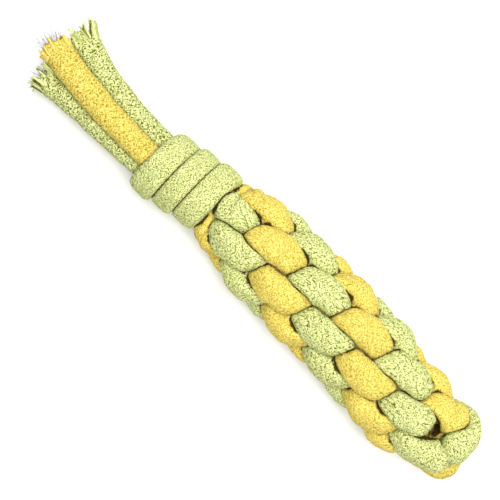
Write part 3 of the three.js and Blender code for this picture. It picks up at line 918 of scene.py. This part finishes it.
def tubes_piece(name, tubes, material):
    """One piece of closed tubes, with the yarns' heights, their painted shade and tone, and a map
    of the ribbons.
    """
    places, faces, heights, painted_shades_and_tones, maps = [], [], [], [], []
    first = 0
    for tube in tubes:
        rings, sides, _ = tube["points"].shape
        places += [tube["points"].reshape(-1, 3), tube["points"][[0, -1]].mean(1)]
        heights += [tube["height"].ravel(), tube["height"][[0, -1]].mean(1)]
        painted_shades_and_tones += [tube["crease"].ravel(), tube["crease"][[0, -1]].mean(1)]
        faces += (first + tube_faces(rings, sides)).tolist()
        faces += (first + end_faces(rings, sides)).tolist()
        maps.append(tube_map(tube))
        first += rings * sides + 2
    mesh = bpy.data.meshes.new(name)
    mesh.from_pydata(np.concatenate(places).tolist(), [], faces)
    mesh.shade_smooth()
    for key, fields in (("yarn_height", heights), ("crease", painted_shades_and_tones)):
        values = np.concatenate(fields).astype(np.float32)
        mesh.attributes.new(key, "FLOAT", "POINT").data.foreach_set("value", values)
    rest = mesh.attributes.new("rest_place", "FLOAT_VECTOR", "POINT")
    rest.data.foreach_set("vector", np.concatenate(places).astype(np.float32).ravel())
    ribbons = mesh.uv_layers.new(name="ribbons")
    ribbons.data.foreach_set("uv", np.concatenate(maps).astype(np.float32).ravel())
    mesh.materials.append(material)
    piece = bpy.data.objects.new(name, mesh)
    bpy.context.scene.collection.objects.link(piece)
    return piece


# Materials

def attribute(tree, name, output="Fac"):
    node = tree.nodes.new("ShaderNodeAttribute")
    node.attribute_name = name
    return node.outputs[output]


def noise(tree, place, scale, detail):
    node = tree.nodes.new("ShaderNodeTexNoise")
    node.inputs["Scale"].default_value = scale
    node.inputs["Detail"].default_value = detail
    tree.links.new(place, node.inputs["Vector"])
    return node.outputs["Fac"]


def reckon(tree, operation, *values):
    """One step of a sum, of numbers and other outputs."""
    node = tree.nodes.new("ShaderNodeMath")
    node.operation = operation
    for socket, value in zip(node.inputs, values):
        if isinstance(value, (int, float)):
            socket.default_value = value
        else:
            tree.links.new(value, socket)
    return node.outputs[0]


def rounded(tree, value, full):
    """Rises smoothly from 0 to 1, where the value is full."""
    node = tree.nodes.new("ShaderNodeMapRange")
    node.interpolation_type = "SMOOTHSTEP"
    node.inputs["From Max"].default_value = full
    tree.links.new(value, node.inputs["Value"])
    return node.outputs["Result"]


def colour_sockets(sockets):
    return [socket for socket in sockets if socket.type == "RGBA"]


def braid_pattern(tree, place, texture):
    """Level of the yarns on top, 0 beside them and where they dive, and the flecks along them."""
    parts = tree.nodes.new("ShaderNodeSeparateXYZ")
    tree.links.new(place, parts.inputs["Vector"])
    wobble = noise(tree, place, WOBBLES, FINE_DETAIL)
    left = reckon(tree, "ADD", parts.outputs["X"], parts.outputs["Y"])
    left = reckon(tree, "MULTIPLY_ADD", wobble, WOBBLE, left)
    right = reckon(tree, "SUBTRACT", parts.outputs["X"], parts.outputs["Y"])
    right = reckon(tree, "MULTIPLY_ADD", wobble, WOBBLE, right)
    count = reckon(tree, "ADD", reckon(tree, "FLOOR", left), reckon(tree, "FLOOR", right))
    order = reckon(tree, "FLOORED_MODULO", count, 2)
    across = reckon(tree, "MULTIPLY_ADD", order, reckon(tree, "SUBTRACT", right, left), left)
    along = reckon(tree, "SUBTRACT", reckon(tree, "ADD", left, right), across)
    stretch = tree.nodes.new("ShaderNodeCombineXYZ")
    tree.links.new(reckon(tree, "MULTIPLY", across, texture["across"]), stretch.inputs["X"])
    tree.links.new(reckon(tree, "MULTIPLY", along, texture["along"]), stretch.inputs["Y"])
    fleck = noise(tree, stretch.outputs["Vector"], 1, SOFT_DETAIL)
    across = reckon(tree, "FRACT", across)
    along = reckon(tree, "FRACT", along)
    ridge = rounded(tree, reckon(tree, "PINGPONG", across, HALF_YARN), YARN_GAP * HALF_YARN)
    dive = rounded(tree, reckon(tree, "PINGPONG", along, HALF_RIBBON), YARN_DIVE)
    return reckon(tree, "MULTIPLY", ridge, dive), fleck


def cotton(name, shades, texture):
    """Matt yarn: painted shade between the yarns and in the creases, uneven in tone, with fine
    fuzz.
    """
    material = bpy.data.materials.new(name)
    material.use_nodes = True
    tree = material.node_tree
    surface = tree.nodes["Principled BSDF"]
    surface.inputs["Specular IOR Level"].default_value = SPECULAR
    surface.inputs["Sheen Weight"].default_value = SHEEN
    surface.inputs["Sheen Roughness"].default_value = SHEEN_ROUGHNESS
    surface.inputs["Sheen Tint"].default_value = (*shades[-1][1], 1)

    node = tree.nodes.new("ShaderNodeUVMap")
    node.uv_map = "ribbons"
    place = node.outputs["UV"]
    pattern, fleck = braid_pattern(tree, place, texture)
    rest = attribute(tree, "rest_place", "Vector")
    speck = noise(tree, rest, SPECKS, SOFT_DETAIL)
    fuzz = noise(tree, rest, FUZZ, FINE_DETAIL)
    mottle = noise(tree, place, MOTTLES, FINE_DETAIL)

    # Painted shade: the tone is darker in the gaps beside the yarns, where they dive and in the
    # braid's holes; the flecks and specks are tone that differs at random
    level = reckon(tree, "MULTIPLY_ADD", pattern, PAINTED_GAP_SHADE, texture["base"])
    level = reckon(tree, "MULTIPLY_ADD", fleck, texture["flecks"], level)
    level = reckon(tree, "MULTIPLY_ADD", speck, texture["specks"], level)
    level = reckon(tree, "MULTIPLY_ADD", attribute(tree, "yarn_height"), PAINTED_HOLE_SHADE, level)
    ramp = tree.nodes.new("ShaderNodeValToRGB")
    stops = ramp.color_ramp.elements
    while len(stops) < len(shades):
        stops.new(shades[len(stops) - 1][0])
    for stop, (position, colour) in zip(stops, shades):
        stop.position = position
        stop.color = (*colour, 1)
    tree.links.new(level, ramp.inputs["Fac"])

    lightness = reckon(tree, "MULTIPLY_ADD", fuzz, FUZZ_SHARE, LEAST_LIGHT)
    lightness = reckon(tree, "MULTIPLY_ADD", mottle, MOTTLE_SHARE, lightness)
    tint = tree.nodes.new("ShaderNodeHueSaturation")
    tree.links.new(lightness, tint.inputs["Value"])
    tree.links.new(ramp.outputs["Color"], tint.inputs["Color"])
    # Painted shade: the colour is mixed towards a dark brown in creases, sharp folds and the cut
    # ends' hollows; on loose yarns the same mix darkens each one at random, as tone
    shade_mix = tree.nodes.new("ShaderNodeMix")
    shade_mix.data_type = "RGBA"
    lit, in_shade = colour_sockets(shade_mix.inputs)
    crease = reckon(tree, "POWER", attribute(tree, "crease"), PAINTED_SHADE_SHARPNESS)
    tree.links.new(reckon(tree, "MULTIPLY", crease, PAINTED_SHADE_STRENGTH), shade_mix.inputs["Factor"])
    tree.links.new(tint.outputs["Color"], lit)
    in_shade.default_value = (*PAINTED_SHADE_COLOUR, 1)
    tree.links.new(colour_sockets(shade_mix.outputs)[0], surface.inputs["Base Color"])
    roughness = reckon(tree, "MULTIPLY_ADD", mottle, ROUGHNESS_SPREAD, LEAST_ROUGHNESS)
    tree.links.new(roughness, surface.inputs["Roughness"])

    bump = tree.nodes.new("ShaderNodeBump")
    bump.inputs["Strength"].default_value = BUMP
    bump.inputs["Distance"].default_value = YARN_DEPTH
    relief = reckon(tree, "MULTIPLY_ADD", fuzz, FUZZ_BUMP, pattern)
    tree.links.new(relief, bump.inputs["Height"])
    tree.links.new(bump.outputs["Normal"], surface.inputs["Normal"])
    return material


# Toy

green = {
    "node": "green_cord",
    "slot": "green_cotton",
    "line": folded_cord(*GREEN_STRANDS, GREEN_BIGHT),
}
green["folds"] = [(bight_arc(green["line"], BIGHT_FOLD_ANGLE), BIGHT_FOLD)]
green["blunt"] = [row_arc(green["line"], row, False) for row in BLUNT_ROWS]
from_blunt = green["line"]["arc"] - sum(green["blunt"]) / 2
green["line"]["firmness"] += BLUNT_FIRMNESS * np.exp(-((from_blunt / BLUNT_REACH) ** 2))
yellow = {
    "node": "yellow_cord",
    "slot": "yellow_cotton",
    "line": folded_cord(*YELLOW_STRANDS, YELLOW_BIGHT),
}
yellow["folds"] = [(row_arc(yellow["line"], NECK_FOLD_ROW, True), NECK_FOLD)]
for cord in (green, yellow):
    cord["free"] = stitch_radius(cord["line"])
whipping = {
    "node": "whipping_cord",
    "slot": "green_cotton",
    "line": whipping_route(),
    "free": whipping_radius,
    "painted_shade_gap": WHIP_PAINTED_SHADE_GAP,
}
for strand_number, tail in enumerate(TAILS):
    tail["line"] = line_of(tail_route(tail, FIRST_TAIL_ANGLE + STRAND_STEP * strand_number))
    tail["free"] = tail_radius(tail)

materials = {name: cotton(name, *look) for name, look in COTTONS.items()}
cords = [green, yellow, whipping, *TAILS]
pressing = pressing_points(cords)
for number, cord in enumerate(cords):
    is_tail = "body" in cord
    material = materials["loose_" + cord["slot"] if is_tail else cord["slot"]]
    tubes = [braid(number, cord, pressing)]
    if is_tail:
        hollow_tip(tubes[0], cord["line"])
        tubes += frayed_yarns(cord, cord["line"])
    piece = tubes_piece(cord["node"] + "_braid", tubes, material)
    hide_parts(cord["node"])
    if is_tail:
        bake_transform(piece)
    else:
        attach(piece, "sinnet")
for tail in TAILS:
    fibres = core_fibres(tail, tail["line"])
    core = tubes_piece(tail["node"] + "_core_fibres", fibres, materials["white_core"])
    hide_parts(tail["node"] + "_core")
    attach(core, tail["body"])

# Floor, light and camera

bpy.ops.mesh.primitive_plane_add(size=FLOOR_SIZE)
floor = bpy.context.object
floor.name = "floor"
paper = bpy.data.materials.new("paper")
paper.use_nodes = True
sheet = paper.node_tree.nodes["Principled BSDF"]
sheet.inputs["Base Color"].default_value = PAPER
sheet.inputs["Roughness"].default_value = PAPER_ROUGHNESS
floor.data.materials.append(paper)

camera = bpy.data.cameras.new("camera")
camera.lens = LENS
eye = bpy.data.objects.new("camera", camera)
bpy.context.scene.collection.objects.link(eye)
point = Vector(ORIGIN) + Vector((PHOTO_POINT_ALONG, 0, 0))
to_right = (PHOTO_SIDE / 2 - PHOTO_POINT[0]) * PIXEL
to_top = (PHOTO_POINT[1] - PHOTO_SIDE / 2) * PIXEL
centre = point + IMAGE_RIGHT * to_right + IMAGE_UP * to_top
distance = PIXEL * PHOTO_SIDE * camera.lens / camera.sensor_width
turn = Matrix((IMAGE_RIGHT, IMAGE_UP, IMAGE_RIGHT.cross(IMAGE_UP))).transposed().to_4x4()
eye.matrix_world = Matrix.Translation(centre + Vector((0, 0, distance))) @ turn
bpy.context.scene.camera = eye

world = bpy.data.worlds.new("studio")
world.use_nodes = True
sky = world.node_tree.nodes["Background"]
sky.inputs["Color"].default_value = WHITE_LIGHT
sky.inputs["Strength"].default_value = WORLD_LIGHT
bpy.context.scene.world = world
bpy.context.scene.view_settings.view_transform = "Standard"


def softbox(name, place, size, watts):
    """A soft square light that faces the toy."""
    to_right, to_top, above = place
    spot = IMAGE_RIGHT * to_right + IMAGE_UP * to_top + Vector((0, 0, above))
    lamp = bpy.data.lights.new(name, "AREA")
    lamp.size = size
    lamp.energy = watts
    light = bpy.data.objects.new(name, lamp)
    bpy.context.scene.collection.objects.link(light)
    light.location = spot
    light.rotation_mode = "QUATERNION"
    light.rotation_quaternion = (-spot).to_track_quat("-Z", "Y")


softbox("key", KEY_PLACE, KEY_SIZE, KEY_WATTS)
softbox("overhead", OVERHEAD_PLACE, OVERHEAD_SIZE, OVERHEAD_WATTS)
